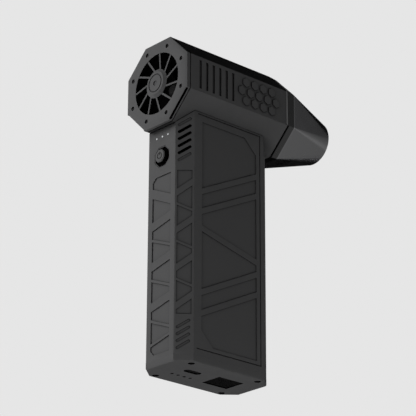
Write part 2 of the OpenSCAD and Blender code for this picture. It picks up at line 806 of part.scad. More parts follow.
module battery_lights() color([0.75, 0.78, 0.80])
    translate([0, 0, 0.2]) linear_extrude(charge_board_z - 0.2) gauge_places() circle(r = gauge_r);

// ---------- battery ----------

module cell_places() for (side = [-1, 1]) translate([side * cell_pitch / 2, 0]) children();

module battery_cells() color([0.16, 0.30, 0.52]) translate([0, 0, cell_z0]) linear_extrude(cell_len)
    cell_places() circle(r = cell_r);

// A channel down the back of both cell holders, for the charge leads
module holder_channel() translate([charge_lead_x, 0]) square([3, 6], center = true);

module lower_cell_holder() color(dark_grey) difference() {
    translate([0, 0, lower_holder_z]) linear_extrude(holder_t + holder_lip) difference() {
        handle_outline(handle_wall + 0.2);
        base_screw_places(0) circle(r = boss_r + 0.2);
        holder_channel();
    }
    translate([0, 0, cell_z0 - holder_gap]) linear_extrude(cell_len) {
        cell_places() circle(r = cell_r + 0.05);
        square([cell_pitch, strap_w + 2 * slack], center = true);
    }
}

module upper_cell_holder() color(dark_grey) difference() {
    union() {
        translate([0, 0, upper_holder_z - holder_lip])
            linear_extrude(upper_holder_top - upper_holder_z + holder_lip) handle_outline(handle_wall + 0.2);
        for (x = [speed_board_x0 + 2, speed_board_x0 + speed_board_len - 4], y = [-8.5, 6.5])
            translate([x, y, upper_holder_top - 0.5]) cube([2, 2, speed_board_z - upper_holder_top + 0.5]);
    }
    translate([0, 0, cell_z0]) linear_extrude(upper_holder_z - cell_z0) cell_places() circle(r = cell_r + 0.05);
    translate([0, 0, cell_z0]) linear_extrude(axis_z) {
        cell_places() circle(r = 2.5);
        holder_channel();
    }
}

module cell_straps() color(metal_grey) {
    translate([0, 0, cell_z0 - strap_t])
        linear_extrude(strap_t) square([cell_pitch + 8, strap_w], center = true);
    translate([0, 0, cell_z1]) linear_extrude(strap_t) cell_places() square([8, strap_w], center = true);
}

module battery_leads() color([0.65, 0.08, 0.06]) translate([0, 0, cell_z1 + strap_t])
    linear_extrude(speed_board_z - cell_z1 - strap_t) cell_places() circle(r = 0.8);

// ---------- boards ----------

module charge_leads() color([0.65, 0.08, 0.06]) for (side = [-1, 1]) {
    y = side * 2 * charge_lead_r;
    wire([[charge_lead_x, y, charge_board_z + board_t], [charge_lead_x, y, charge_lead_top],
          [control_board_x, y, charge_lead_top]], charge_lead_r);
}

module speed_board() color(board_green) board(speed_board_x0, speed_board_len, speed_board_w, speed_board_z);

module power_transistors() color(dark_grey)
    for (i = [0 : 2], side = [-1, 1])
        translate([speed_board_x0 + 6 + i * 6.5, side * 6.5, speed_board_z + board_t + 0.5])
            cube([5, 5.6, 1], center = true);

module bulk_capacitor() color([0.16, 0.30, 0.52])
    translate([speed_board_x0 + speed_board_len - 4, 0, speed_board_z + board_t]) cylinder(h = 10, r = 3.4);

module control_board() color(board_green)
    translate([control_board_x, -control_board_w / 2, upper_holder_top])
        cube([board_t, control_board_w, control_board_z1 - upper_holder_top]);

module board_ribbon() color([0.80, 0.80, 0.76])
    translate([control_board_x + board_t, -3, speed_board_z + board_t])
        cube([speed_board_x0 + 2.5 - control_board_x - board_t, 6, 0.3]);

module board_chips() color(rubber_black) {
    translate([control_board_x + board_t, -2.5, button_z - 2.5]) cube([0.9, 5, 5]);
    translate([speed_board_x0 + speed_board_len / 2 - 2.5, -9.5, speed_board_z - 0.9]) cube([5, 5, 0.9]);
    translate([-4, -2.5, charge_board_z + board_t]) cube([4, 4, 0.9]);
}

// ---------- button and lights ----------

module speed_lights() color("white") for (i = [-1 : 1])
    translate([-half_x, i * lights_step, lights_z]) rotate([0, 90, 0])
        cylinder(h = control_board_x + half_x, r = light_r);

module on_button_axis(x) translate([x, 0, button_z]) rotate([0, 90, 0]) children();

module button_bezel() color(rubber_black) difference() {
    on_button_axis(-half_x + bezel_sunk) linear_extrude(recess_depth - bezel_sunk) octagon(recess_flats);
    on_button_axis(-half_x - 1)
        linear_extrude(recess_depth - bezel_floor + 1) octagon(recess_flats - 2 * bezel_wall);
    on_button_axis(-half_x) cylinder(h = 5, r = stem_r + slack);
}

module power_button() color(dark_grey) {
    face_x = -half_x - button_proud;
    cap_x1 = -half_x + recess_depth - bezel_floor - button_travel - 0.15;
    flange_x = button_end_x - button_flange_t;
    edge = 0.4;
    difference() {
        union() {
            on_button_axis(0) intersection_for (i = [0 : 3]) rotate([0, 0, 45 * i]) rotate([90, 0, 0])
                linear_extrude(2 * button_flats, center = true)
                    polygon([[edge - button_flats / 2, face_x], [button_flats / 2 - edge, face_x],
                             [button_flats / 2, face_x + edge], [button_flats / 2, cap_x1],
                             [-button_flats / 2, cap_x1], [-button_flats / 2, face_x + edge]]);
            on_button_axis(cap_x1 - 0.5) cylinder(h = flange_x + button_flange_t - cap_x1 + 0.5, r = stem_r);
            on_button_axis(flange_x) cylinder(h = button_flange_t, r = button_flange_r);
        }
        power_symbol(face_x);
    }
}

// A plain on-off sign, a ring with a gap at the top and a short bar in the gap, sunk in the button's face
module power_symbol(face_x) on_button_axis(face_x - 1) linear_extrude(1.25) rotate(180) {
    difference() {
        circle(r = 1.6);
        circle(r = 1.2);
        translate([0, -0.5]) square([3, 1]);
    }
    translate([0.6, -0.2]) square([1.3, 0.4]);
}

module tact_switch() color(dark_grey) on_button_axis(control_board_x - switch_t) difference() {
    linear_extrude(switch_t) square(switch_w, center = true);
    translate([0, 0, -1]) cylinder(h = switch_bore + 1, r = plunger_r + 0.05);
}

module switch_plunger() color(metal_grey) on_button_axis(button_end_x)
    cylinder(h = control_board_x - switch_t + switch_bore - button_travel - slack - button_end_x,
             r = plunger_r);

rear_cover();
cover_screws();
cover_gasket();
barrel_housing();
nozzle_gasket();
nozzle();
fan_duct();
damper_rings();
impeller();
motor_shaft();
rotor_magnet();
motor_bearings();
stator_core();
stator_windings();
motor_frame();
motor_end_cap();
tail_cone();
motor_leads();
handle_housing();
base_cap();
base_screws();
base_vent_mesh();
usb_socket();
usb_tongue();
charging_board();
battery_lights();
battery_cells();
lower_cell_holder();
upper_cell_holder();
cell_straps();
battery_leads();
charge_leads();
speed_board();
power_transistors();
bulk_capacitor();
control_board();
board_ribbon();
board_chips();
speed_lights();
power_button();
button_bezel();
tact_switch();
switch_plunger();
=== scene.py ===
"""Cordless car dryer blower: the surfaces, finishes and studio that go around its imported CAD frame."""
import json
import math

import bmesh
import bpy
import numpy as np
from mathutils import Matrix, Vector

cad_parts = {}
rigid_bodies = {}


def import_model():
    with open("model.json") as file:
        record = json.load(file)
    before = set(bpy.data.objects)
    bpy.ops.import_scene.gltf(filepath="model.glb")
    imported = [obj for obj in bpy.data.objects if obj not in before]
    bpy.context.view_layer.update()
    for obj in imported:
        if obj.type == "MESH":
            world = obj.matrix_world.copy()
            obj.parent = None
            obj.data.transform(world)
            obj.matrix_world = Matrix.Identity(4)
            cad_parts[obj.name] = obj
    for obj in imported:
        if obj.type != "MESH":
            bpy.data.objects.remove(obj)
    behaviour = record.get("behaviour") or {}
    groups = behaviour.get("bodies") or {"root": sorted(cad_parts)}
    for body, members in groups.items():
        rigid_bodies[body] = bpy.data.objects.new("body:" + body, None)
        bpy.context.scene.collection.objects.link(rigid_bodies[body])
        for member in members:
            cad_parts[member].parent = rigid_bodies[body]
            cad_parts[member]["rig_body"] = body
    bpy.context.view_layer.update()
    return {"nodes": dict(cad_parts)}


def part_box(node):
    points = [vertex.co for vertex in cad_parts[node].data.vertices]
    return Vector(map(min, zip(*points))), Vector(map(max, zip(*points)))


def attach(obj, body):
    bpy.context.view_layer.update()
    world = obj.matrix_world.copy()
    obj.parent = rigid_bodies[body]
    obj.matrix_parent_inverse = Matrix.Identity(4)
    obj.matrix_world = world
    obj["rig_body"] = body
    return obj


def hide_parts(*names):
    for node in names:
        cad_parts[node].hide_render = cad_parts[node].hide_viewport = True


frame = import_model()

# ---- Studio ----
# A pale table top and background, soft round lamps, and a camera that looks up at the blower from below
# and behind its right side. The table top shows only from above, so it never hides or shades the base.
PALE = (0.791, 0.791, 0.791, 1)
scene = bpy.context.scene
scene.view_settings.view_transform = "Standard"


def add(tree, kind, sockets=(), **settings):
    """Adds a node to a tree. Its settings come first, then its sockets by name, each a value or another
    node's socket, which is linked to it."""
    made = tree.nodes.new("ShaderNode" + kind)
    for key, value in settings.items():
        setattr(made, key, value)
    for key, value in dict(sockets).items():
        socket = made.inputs[key] if isinstance(key, int) else next(
            s for s in made.inputs if s.name == key and s.enabled)
        if isinstance(value, bpy.types.NodeSocket):
            tree.links.new(value, socket)
        else:
            socket.default_value = value
    return made


def arithmetic(tree, operation, *values, **settings):
    """The result of a Math node on values, each a number or another node's socket."""
    return add(tree, "Math", dict(enumerate(values)), operation=operation, **settings).outputs[0]


camera_data = bpy.data.cameras.new("camera")
camera_data.sensor_width = 36
camera_data.lens = 177.335
camera_data.clip_start = 0.01
camera = bpy.data.objects.new("camera", camera_data)
camera.location = (-0.58796, -0.65611, -0.27271)
camera.rotation_euler = [math.radians(a) for a in (111.9613, -0.2251, -41.9699)]
scene.collection.objects.link(camera)
scene.camera = camera

world = bpy.data.worlds.new("studio_air")
world.use_nodes = True
tree = world.node_tree
tree.nodes.clear()
ray = add(tree, "LightPath").outputs
seen = arithmetic(tree, "MAXIMUM", ray["Is Camera Ray"], ray["Is Glossy Ray"])
seen = arithmetic(tree, "MAXIMUM", seen, ray["Is Transmission Ray"])
dim = add(tree, "Background", {"Color": (1, 1, 1, 1), "Strength": 0.012})
pale = add(tree, "Background", {"Color": PALE, "Strength": 1.0})
both = add(tree, "MixShader", {0: seen, 1: dim.outputs[0], 2: pale.outputs[0]})
add(tree, "OutputWorld", {"Surface": both.outputs[0]})
scene.world = world

# The table top is a disc of rings of points. Its middle is one flat face, and quads join each ring to the
# next one out.
TABLE_RADIUS, TABLE_TOP, TABLE_RINGS, TABLE_STEPS = 0.7, -0.0004, 7, 64
table_radius = np.linspace(0.0, TABLE_RADIUS, TABLE_RINGS + 1)[1:, None]
table_turn = np.linspace(0, 2 * math.pi, TABLE_STEPS, endpoint=False)[None, :]
table_points = np.stack([table_radius * np.cos(table_turn), table_radius * np.sin(table_turn),
                         np.full((TABLE_RINGS, TABLE_STEPS), TABLE_TOP)], axis=-1).reshape(-1, 3)
table = bpy.data.meshes.new("table_top")
inner = np.arange((TABLE_RINGS - 1) * TABLE_STEPS).reshape(-1, TABLE_STEPS)
beside = np.roll(inner, -1, 1)
table_quads = np.stack([inner, inner + TABLE_STEPS, beside + TABLE_STEPS, beside], axis=-1).reshape(-1, 4)
table.from_pydata(table_points.tolist(), [], table_quads.tolist() + [list(range(TABLE_STEPS))])
table_top = bpy.data.objects.new("table_top", table)
scene.collection.objects.link(table_top)
table_top.visible_shadow = False
finish = bpy.data.materials.new("table_top")
finish.use_nodes = True
tree = finish.node_tree
tree.nodes.clear()
ray = add(tree, "LightPath").outputs
front = arithmetic(tree, "SUBTRACT", 1.0, add(tree, "NewGeometry").outputs["Backfacing"])
place_on = add(tree, "TexCoord").outputs["Object"]
reach = add(tree, "VectorMath", {0: place_on}, operation="LENGTH").outputs["Value"]
fade = add(tree, "MapRange", {"Value": reach, "From Min": 0.3, "From Max": 0.68, "To Min": 1.0,
                              "To Max": 0.0}, interpolation_type="SMOOTHSTEP").outputs[0]
share = arithmetic(tree, "MULTIPLY", arithmetic(tree, "MULTIPLY", front, fade), ray["Is Camera Ray"])
glow = add(tree, "Emission", {"Color": PALE, "Strength": 0.7})
matt = add(tree, "BsdfDiffuse", {"Color": (0.8, 0.8, 0.8, 1)})
lit = add(tree, "AddShader", {0: glow.outputs[0], 1: matt.outputs[0]})
clear = add(tree, "BsdfTransparent")
both = add(tree, "MixShader", {0: share, 1: clear.outputs[0], 2: lit.outputs[0]})
add(tree, "OutputMaterial", {"Surface": both.outputs[0]})
table.materials.append(finish)


BLOWER_MIDDLE, LAMP_DISTANCE = Vector((0.01, 0, 0.085)), 0.9


def soft_lamp(name, toward, share, size):
    """A round soft box of this diameter, in the direction toward from the blower's middle, which lights a
    surface that faces it to this share of its own colour."""
    lamp = bpy.data.lights.new(name, "AREA")
    lamp.shape = "DISK"
    lamp.size = size
    lamp.energy = share * (math.pi * LAMP_DISTANCE) ** 2
    holder = bpy.data.objects.new(name, lamp)
    way = Vector(toward).normalized()
    holder.location = BLOWER_MIDDLE + way * LAMP_DISTANCE
    holder.rotation_euler = (-way).to_track_quat("-Z", "Y").to_euler()
    scene.collection.objects.link(holder)


# One strong lamp stands behind and over the left side. Four weak ones fill in from the back, the right and
# below, three in front show as reflections in the nozzle's satin skin, and the last one lights the left side.
for name, toward, share, size in (
        ("lamp_over", (-0.62, 0.66, 0.42), 1.11, 0.34),
        ("lamp_rear", (-0.78, 0.35, -0.52), 0.20, 0.36),
        ("lamp_right", (-0.93, -0.26, -0.27), 0.25, 0.30),
        ("lamp_side", (-0.10, -0.70, -0.71), 0.36, 0.30),
        ("lamp_low", (0.10, 0.62, -0.78), 0.21, 0.36),
        ("lamp_front", (0.93, -0.10, -0.33), 0.10, 0.80),
        ("lamp_gleam", (0.935, -0.30, 0.15), 0.105, 0.60),
        ("lamp_lip", (0.88, 0.33, -0.33), 0.14, 0.50),
        ("lamp_left", (0.35, 0.85, 0.39), 0.50, 0.36)):
    soft_lamp(name, toward, share, size)

# ---- Barrel shell ----
# The eight-sided tube that carries the fan: one injection moulding in glass-filled nylon, charcoal black with
# a fine matt grain. Its flats carry six cooling grooves and a patch of six-sided studs on each side.
AXIS = Vector((0, 0, 0.136))  # a point of the barrel's axis, which runs along x


def place(name, mesh, body):
    """Puts a mesh into the scene as a piece that moves with a CAD body."""
    piece = bpy.data.objects.new(name, mesh)
    scene.collection.objects.link(piece)
    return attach(piece, body)


def node_group(name, sockets, results):
    """An empty group of shader nodes with named sockets; gives the tree, its inputs and its output node."""
    group = bpy.data.node_groups.new(name, "ShaderNodeTree")
    for label, kind, value in sockets:
        made = group.interface.new_socket(label, in_out="INPUT", socket_type="NodeSocket" + kind)
        made.default_value = value
    for label, kind in results:
        group.interface.new_socket(label, in_out="OUTPUT", socket_type="NodeSocket" + kind)
    return group, group.nodes.new("NodeGroupInput").outputs, group.nodes.new("NodeGroupOutput")


def join(group, end, **results):
    """Links results to a group's output sockets of the same names."""
    for label, socket in results.items():
        group.links.new(socket, end.inputs[label])


# Moulded skin: slow cloudiness from the melt's flow in colour and gloss, over fine pits left by the etched
# tool.
moulded_skin, given, end = node_group(
    "moulded_skin",
    (("Colour", "Color", (0.05, 0.05, 0.05, 1)), ("Cloud", "Float", 0.1), ("Grains", "Float", 2600.0),
     ("Roughness", "Float", 0.6)),
    (("Colour", "Color"), ("Roughness", "Float"), ("Height", "Float")))
where = add(moulded_skin, "TexCoord").outputs["Object"]
flow = add(moulded_skin, "TexNoise", {"Vector": where, "Scale": 38.0, "Detail": 3.0,
                                      "Roughness": 0.55}).outputs[0]
pits = add(moulded_skin, "TexNoise", {"Vector": where, "Scale": given["Grains"], "Detail": 1.5}).outputs[0]
cells = add(moulded_skin, "TexVoronoi", {"Vector": where, "Scale": given["Grains"], "Smoothness": 0.6},
            feature="SMOOTH_F1").outputs["Distance"]
off = arithmetic(moulded_skin, "SUBTRACT", flow, 0.5)
tone = arithmetic(moulded_skin, "MULTIPLY_ADD", off, given["Cloud"], 1.0)
shade = add(moulded_skin, "HueSaturation", {"Color": given["Colour"], "Value": tone}).outputs["Color"]
gloss = arithmetic(moulded_skin, "MULTIPLY_ADD", off, 0.25, given["Roughness"])
gloss = arithmetic(moulded_skin, "MULTIPLY_ADD", pits, 0.08, gloss)
height = arithmetic(moulded_skin, "MULTIPLY_ADD", cells, 0.6, pits)
join(moulded_skin, end, Colour=shade, Roughness=gloss, Height=height)

# Rubbed edge: handling polishes and lightens the rounded edges, in uneven patches; the lighter colour is
# partly a painted highlight along the edges.
rubbed_edge_highlight, given, end = node_group(
    "rubbed_edge_highlight",
    (("Colour", "Color", (0.05, 0.05, 0.05, 1)), ("Rubbed", "Color", (0.1, 0.1, 0.1, 1)),
     ("Wear", "Float", 0.3), ("Roughness", "Float", 0.6)),
    (("Colour", "Color"), ("Roughness", "Float")))
where = add(rubbed_edge_highlight, "TexCoord").outputs["Object"]
edge = add(rubbed_edge_highlight, "Attribute", attribute_name="edge").outputs["Fac"]
patch = add(rubbed_edge_highlight, "TexNoise", {"Vector": where, "Scale": 170.0, "Detail": 4.0,
                                      "Roughness": 0.65}).outputs[0]
patch = add(rubbed_edge_highlight, "MapRange", {"Value": patch, "From Min": 0.35, "From Max": 0.7}).outputs[0]
worn_and_highlit = arithmetic(rubbed_edge_highlight, "MULTIPLY", edge, patch)
worn_and_highlit = arithmetic(rubbed_edge_highlight, "MULTIPLY", worn_and_highlit, given["Wear"], use_clamp=True)
shade = add(rubbed_edge_highlight, "Mix", {"Factor": worn_and_highlit, "A": given["Colour"], "B": given["Rubbed"]},
            data_type="RGBA").outputs[2]
gloss = arithmetic(rubbed_edge_highlight, "MULTIPLY_ADD", worn_and_highlit, -0.2, given["Roughness"])
join(rubbed_edge_highlight, end, Colour=shade, Roughness=gloss)


def material(name, **sockets):
    """An empty material with its Principled shader, whose plain sockets are set here."""
    made = bpy.data.materials.new(name)
    made.use_nodes = True
    made.node_tree.nodes.clear()
    shader = add(made.node_tree, "BsdfPrincipled", {k.replace("_", " "): v for k, v in sockets.items()})
    add(made.node_tree, "OutputMaterial", {"Surface": shader.outputs[0]})
    return made, made.node_tree, shader


def drive(tree, shader, depth, height, **results):
    """Links pattern results to the shader's sockets, and a height through a bump node of this depth."""
    for label, socket in results.items():
        tree.links.new(socket, shader.inputs[label.replace("_", " ")])
    bump = add(tree, "Bump", {"Height": height, "Distance": depth, "Strength": 1.0})
    tree.links.new(bump.outputs[0], shader.inputs["Normal"])


def skin_results(tree, colour, cloud, grains, roughness):
    """The results of the moulded skin with these values, for a material's own nodes."""
    return add(tree, "Group", {"Colour": (*colour, 1), "Cloud": cloud, "Grains": grains,
                               "Roughness": roughness}, node_tree=moulded_skin).outputs


def skinned(name, colour, cloud, grains, roughness, depth, **sockets):
    """A material made of the moulded skin alone."""
    made, tree, shader = material(name, **sockets)
    skin = skin_results(tree, colour, cloud, grains, roughness)
    drive(tree, shader, depth, skin["Height"], Base_Color=skin["Colour"], Roughness=skin["Roughness"])
    return made


def plastic(name, colour, rubbed, cloud=0.1, grains=2600.0, roughness=0.6, depth=0.000012, wear=0.3,
            corners=1.7, reach=0.003):
    """A moulded plastic: the moulded skin, then the rubbed edges on top of it, lighter partly as wear and
    partly
    as a painted highlight. An ambient occlusion node paints shade into its inner corners and under overhangs:
    corners is how strongly, and reach is how far from a surface another one counts."""
    made, tree, shader = material(name, Specular_IOR_Level=0.0)
    skin = skin_results(tree, colour, cloud, grains, roughness)
    rubbed_and_highlit = add(tree, "Group", {"Colour": skin["Colour"], "Rubbed": (*rubbed, 1), "Wear": wear,
                              "Roughness": skin["Roughness"]}, node_tree=rubbed_edge_highlight).outputs
    # Painted shade: ambient occlusion darkens the colour in inner corners and under overhangs.
    corner_shade = add(tree, "AmbientOcclusion", {"Distance": reach}, samples=8).outputs["AO"]
    corner_shade = arithmetic(tree, "POWER", corner_shade, corners)
    shade = add(tree, "HueSaturation", {"Color": rubbed_and_highlit["Colour"], "Value": corner_shade}).outputs["Color"]
    drive(tree, shader, depth, skin["Height"], Base_Color=shade, Roughness=rubbed_and_highlit["Roughness"])
    return made


# Edges are sharp past SHARP degrees and steep past STEEP, and long past LONG; a strip that is narrower than
# ROUNDING is part of an edge's rounding
SHARP, STEEP, LONG, ROUNDING = 22, 60, 0.003, 0.0002
COS_30, COS_50 = 0.866, 0.643


def blended(face, neighbours, cosine):
    """The mean normal of the neighbours that turn from a face by less than the angle of this cosine."""
    return sum((f.normal for f in neighbours if f.normal.dot(face.normal) > cosine), Vector()).normalized()


def corner_normal(face, vertex, narrow):
    """The shading normal of a face's corner. A broad face blends only with broad neighbours within 30
    degrees, so it stays flat; a narrow rounding strip takes the normal of the broad face it runs into, if
    that is within 50 degrees, or else blends with all neighbours that are."""
    around = [f for f in vertex.link_faces if not narrow[f.index]]
    if not narrow[face.index]:
        return blended(face, around, COS_30)
    best = max(around, key=lambda f: f.normal.dot(face.normal), default=face)
    if best is not face and best.normal.dot(face.normal) > COS_50:
        return best.normal.copy()
    return blended(face, vertex.link_faces, COS_50)


def softened(node, name, *rounds):
    """A merged copy of a CAD piece with its sharp outer edges rounded. Each round is a radius and a test of
    an edge's angle in degrees, its length and its middle; every edge that passes it gets that radius. The
    attribute edge is 1 on the rounding, where the skin is rubbed and painted lighter as a highlight, and less
    on the points beside it."""
    form = bmesh.new()
    form.from_mesh(frame["nodes"][node].data)
    bmesh.ops.remove_doubles(form, verts=form.verts, dist=1e-6)
    bmesh.ops.dissolve_degenerate(form, edges=form.edges, dist=1e-6)
    bmesh.ops.dissolve_limit(form, angle_limit=math.radians(0.3), verts=form.verts, edges=form.edges)
    for radius, wanted in rounds:
        outer = [(e, math.degrees(e.calc_face_angle(0))) for e in form.edges if e.is_manifold and e.is_convex]
        edges = [e for e, angle in outer if angle > SHARP
                 and wanted(angle, e.calc_length(), (e.verts[0].co + e.verts[1].co) / 2)]
        bmesh.ops.bevel(form, geom=edges, offset=radius, offset_type="OFFSET", segments=2, profile=0.5,
                        affect="EDGES", clamp_overlap=True, miter_outer="SHARP")
    form.normal_update()
    form.faces.index_update()
    narrow = [2 * f.calc_area() < ROUNDING * f.calc_perimeter() for f in form.faces]
    edge = form.verts.layers.float.new("edge")
    for vertex in form.verts:
        share = [narrow[f.index] for f in vertex.link_faces]
        vertex[edge] = 1.0 if all(share) else 0.35 if any(share) else 0.0
    normals = [corner_normal(face, corner.vert, narrow) for face in form.faces for corner in face.loops]
    mesh = bpy.data.meshes.new(name)
    form.to_mesh(mesh)
    form.free()
    mesh.shade_smooth()
    mesh.normals_split_custom_set(normals)
    piece = place(name, mesh, frame["nodes"][node]["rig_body"])
    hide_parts(node)
    return piece


def finish_faces(piece, first, *others):
    """Gives a piece its materials. The first covers it; each of the others is a material and a test of the
    faces' middles and normals, and takes over the faces that pass it."""
    mesh = piece.data
    mesh.materials.append(first)
    middles, normals = np.empty((2, 3 * len(mesh.polygons)), np.float32)
    mesh.polygons.foreach_get("center", middles)
    mesh.polygons.foreach_get("normal", normals)
    slots = np.zeros(len(mesh.polygons), np.int32)
    for made, wanted in others:
        mesh.materials.append(made)
        slots[wanted(middles.reshape(-1, 3), normals.reshape(-1, 3))] = len(mesh.materials) - 1
    mesh.polygons.foreach_set("material_index", slots)


def across_flats(points):
    """Half width across the flats of the octagon round the barrel's axis on which each point lies."""
    y, z = np.abs(points[:, 1]), np.abs(points[:, 2] - AXIS.z)
    return np.maximum(np.maximum(y, z), (y + z) / math.sqrt(2))


CHARCOAL = (0.080, 0.080, 0.081)
# The rubbed colour lightens the edges partly as wear and partly as a painted highlight.
RUBBED_AND_HIGHLIT = (0.125, 0.125, 0.127)
# Painted shade: this near-black covers faces in recesses, inside walls and gaps, and darkens the seams.
shade_and_seam_black = plastic("shade_and_seam_black", (0.004, 0.004, 0.004), (0.006, 0.006, 0.006), wear=0.0)
# Its wide reach also paints shade on the barrel's underside beneath the cover.
barrel_plastic = plastic("barrel_plastic", CHARCOAL, RUBBED_AND_HIGHLIT, corners=1.9, reach=0.008)
# Painted highlight: the pale bead along the barrel's front edge.
bead_highlight_plastic = plastic("bead_highlight_plastic", (0.17, 0.17, 0.172), (0.2, 0.2, 0.2), corners=1.0)
barrel_bore, front_round, side_skin, handle_neck = 0.0204, 0.031, 0.02125, 0.1149
barrel = softened("barrel_housing", "barrel_shell",
                  (0.0003, lambda angle, length, middle: angle < STEEP and length > LONG),
                  (0.00008, lambda angle, length, middle: angle > STEEP))
# Black inside as painted shade, and at the front seam; the front edge's rounding on both side flats is
# painted pale as a highlight bead
finish_faces(barrel, barrel_plastic,
             (shade_and_seam_black, lambda middle, normal:
              ((across_flats(middle) < barrel_bore) & (middle[:, 2] > handle_neck))
              | ((across_flats(middle) > barrel_bore) & (middle[:, 0] > front_round) & (normal[:, 0] > 0.2))),
             (bead_highlight_plastic, lambda middle, normal:
              (middle[:, 0] > front_round) & (np.abs(middle[:, 1]) > side_skin)))

# ---- Intake cover ----
# A flat eight-sided moulding screwed to the barrel's back end. Eleven slanted spokes carry a round hub in
# front of the fan. Its face has the same grain as the shells.
cover_plastic = plastic("cover_plastic", (0.082, 0.082, 0.083), RUBBED_AND_HIGHLIT, cloud=0.14)
cover_face, cover_edge, grille_r = -0.032, 0.0202, 0.0195
cover = softened("rear_cover", "intake_cover",
                 (0.0002, lambda angle, length, middle: (
                     length > LONG and (middle - AXIS).yz.length > grille_r)),
                 (0.00007, lambda angle, length, middle: (middle - AXIS).yz.length < grille_r))
# Only its face, with the spokes and the hub, and its outer edge are pale: walls inside the grille are black
# as painted shade
finish_faces(cover, cover_plastic, (shade_and_seam_black, lambda middle, normal: ~(
    ((across_flats(middle) > cover_edge) & (np.abs(normal[:, 0]) < 0.9))
    | ((middle[:, 0] < cover_face + 0.0003) & (normal[:, 0] < -0.5)))))

# The cover's eight screws and the base's four: blackened steel with a hexagon socket.
black_steel = skinned("black_steel", (0.012, 0.012, 0.012), 0.5, 900.0, 0.5, 0.000004, Metallic=0.3,
                      Specular_IOR_Level=0.05)
for node, name in (("cover_screws", "cover_screw_set"), ("base_screws", "base_screw_set")):
    screws = softened(node, name, (0.00006, lambda angle, length, middle: True))
    screws.data.materials.append(black_steel)

# ---- Seals and rubber rings ----
# Die-cut rubber gaskets are clamped between the barrel and what closes its two ends, and show as thin dark
# seams. Two soft rings carry the fan duct in the barrel.


def dress(made, *nodes):
    """Gives CAD nodes that keep their own shape a finish."""
    for node in nodes:
        frame["nodes"][node].data.materials.clear()
        frame["nodes"][node].data.materials.append(made)


dress(skinned("seal_rubber", (0.012, 0.012, 0.012), 0.3, 3500.0, 0.8, 0.00001, Specular_IOR_Level=0.1),
      "cover_gasket", "nozzle_gasket", "damper_rings")

# ---- Nozzle ----
# A moulded cone with a satin metal-effect lacquer, which blends from the barrel's eight flats to a round
# mouth. It plugs into the barrel with a round spigot, and its inside narrows smoothly to the outlet bore.


def grid_mesh(name, points, along=False, caps=False):
    """A mesh over a grid of points, rows by columns. Columns close around; rows may close along into a ring
    or end in flat caps."""
    rows, columns = points.shape[:2]
    number = np.arange(rows * columns).reshape(rows, columns)
    first = number if along else number[:-1]
    last = np.roll(number, -1, 0) if along else number[1:]
    corners = (first, np.roll(first, -1, 1), np.roll(last, -1, 1), last)
    faces = np.stack(corners, axis=-1).reshape(-1, 4).tolist()
    if caps:
        faces += [number[0, ::-1].tolist(), number[-1].tolist()]
    mesh = bpy.data.meshes.new(name)
    mesh.from_pydata(points.reshape(-1, 3).tolist(), [], faces)
    return mesh


def rounded_octagon(x, flat, round_off, steps=12):
    """One ring of points around the barrel's axis for every station x. Its outline is an octagon of half
    width flat, grown all round by round_off, so it is an octagon where round_off is small and a circle where
    flat is nothing."""
    turn = np.radians(45 * np.arange(8)[:, None] + 45 * (np.arange(steps) + 0.5) / steps)
    corner = np.radians(45 * np.arange(8) + 22.5)[:, None] + 0 * turn
    far = flat[:, None] / math.cos(math.radians(22.5))
    y = far * np.cos(corner).ravel() + round_off[:, None] * np.cos(turn).ravel()
    z = far * np.sin(corner).ravel() + round_off[:, None] * np.sin(turn).ravel()
    return np.stack([np.broadcast_to(x[:, None], y.shape), y, z + AXIS.z], axis=-1)


def bend(x0, r0, x1, r1, corner_x, corner_r, steps):
    """Stations along a quadratic curve from one point of a profile to another, pulled to a corner point."""
    t = np.linspace(0, 1, steps)
    x = (1 - t) ** 2 * x0 + 2 * t * (1 - t) * corner_x + t ** 2 * x1
    r = (1 - t) ** 2 * r0 + 2 * t * (1 - t) * corner_r + t ** 2 * r1
    return np.stack([x, r], axis=-1)


low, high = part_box("nozzle")
spigot_x, mouth_x = low.x, high.x + 0.0001
collar_x0, collar_x1, seam_x, outlet_x = 0.0323, 0.0364, 0.0330, 0.0624
spigot_r, spigot_bore, mouth_r, outlet_r, lip = 0.0191, 0.0176, 0.0110, 0.0092, 0.00025
collar_half0, collar_half1, cone_half, corner_r, mouth_drop = 0.0211, 0.02085, 0.02085, 0.0005, 0.0004
# Stations as x, half width of the flats and roundness, from the spigot outwards, round the lip and back in
outside = [(spigot_x, 0, spigot_r - 0.0003), (spigot_x + 0.0003, 0, spigot_r), (collar_x0, 0, spigot_r)]
outside += [(collar_x0, collar_half0 - 0.0015, corner_r + 0.0001),
            (collar_x0, collar_half0 - 0.0006, corner_r)]
outside += [(x, half - corner_r, corner_r) for x, half in (
    (collar_x0 + 0.00008, collar_half0), (seam_x, collar_half0), (collar_x1 - 0.0003, collar_half1))]
taper = np.linspace(0, 1, 30)
taper_x = collar_x1 + (mouth_x - lip - collar_x1) * taper
taper_round = corner_r + (mouth_r - corner_r) * taper
outside += list(zip(taper_x, cone_half + (mouth_r - cone_half) * taper - taper_round, taper_round))
rim = bend(mouth_x - lip, mouth_r, mouth_x, mouth_r - lip, mouth_x, mouth_r, 5)[1:]
rim_in = bend(mouth_x, outlet_r + 0.0005, mouth_x - 0.0005, outlet_r, mouth_x, outlet_r, 4)
outside += [(x, 0, r) for x, r in np.vstack([rim, rim_in])]
funnel = np.linspace(0, 1, 12)
ease = funnel * funnel * (3 - 2 * funnel)
outside += [(x, 0, r) for x, r in zip(outlet_x + (collar_x0 - outlet_x) * funnel,
                                      outlet_r + (spigot_bore - outlet_r) * ease)]
outside += [(spigot_x + 0.0003, 0, spigot_bore), (spigot_x, 0, spigot_bore + 0.0002)]
nozzle_points = rounded_octagon(*np.array(outside).T)
cone_share = np.clip((nozzle_points[..., 0] - collar_x1) / (mouth_x - collar_x1), 0, 1)
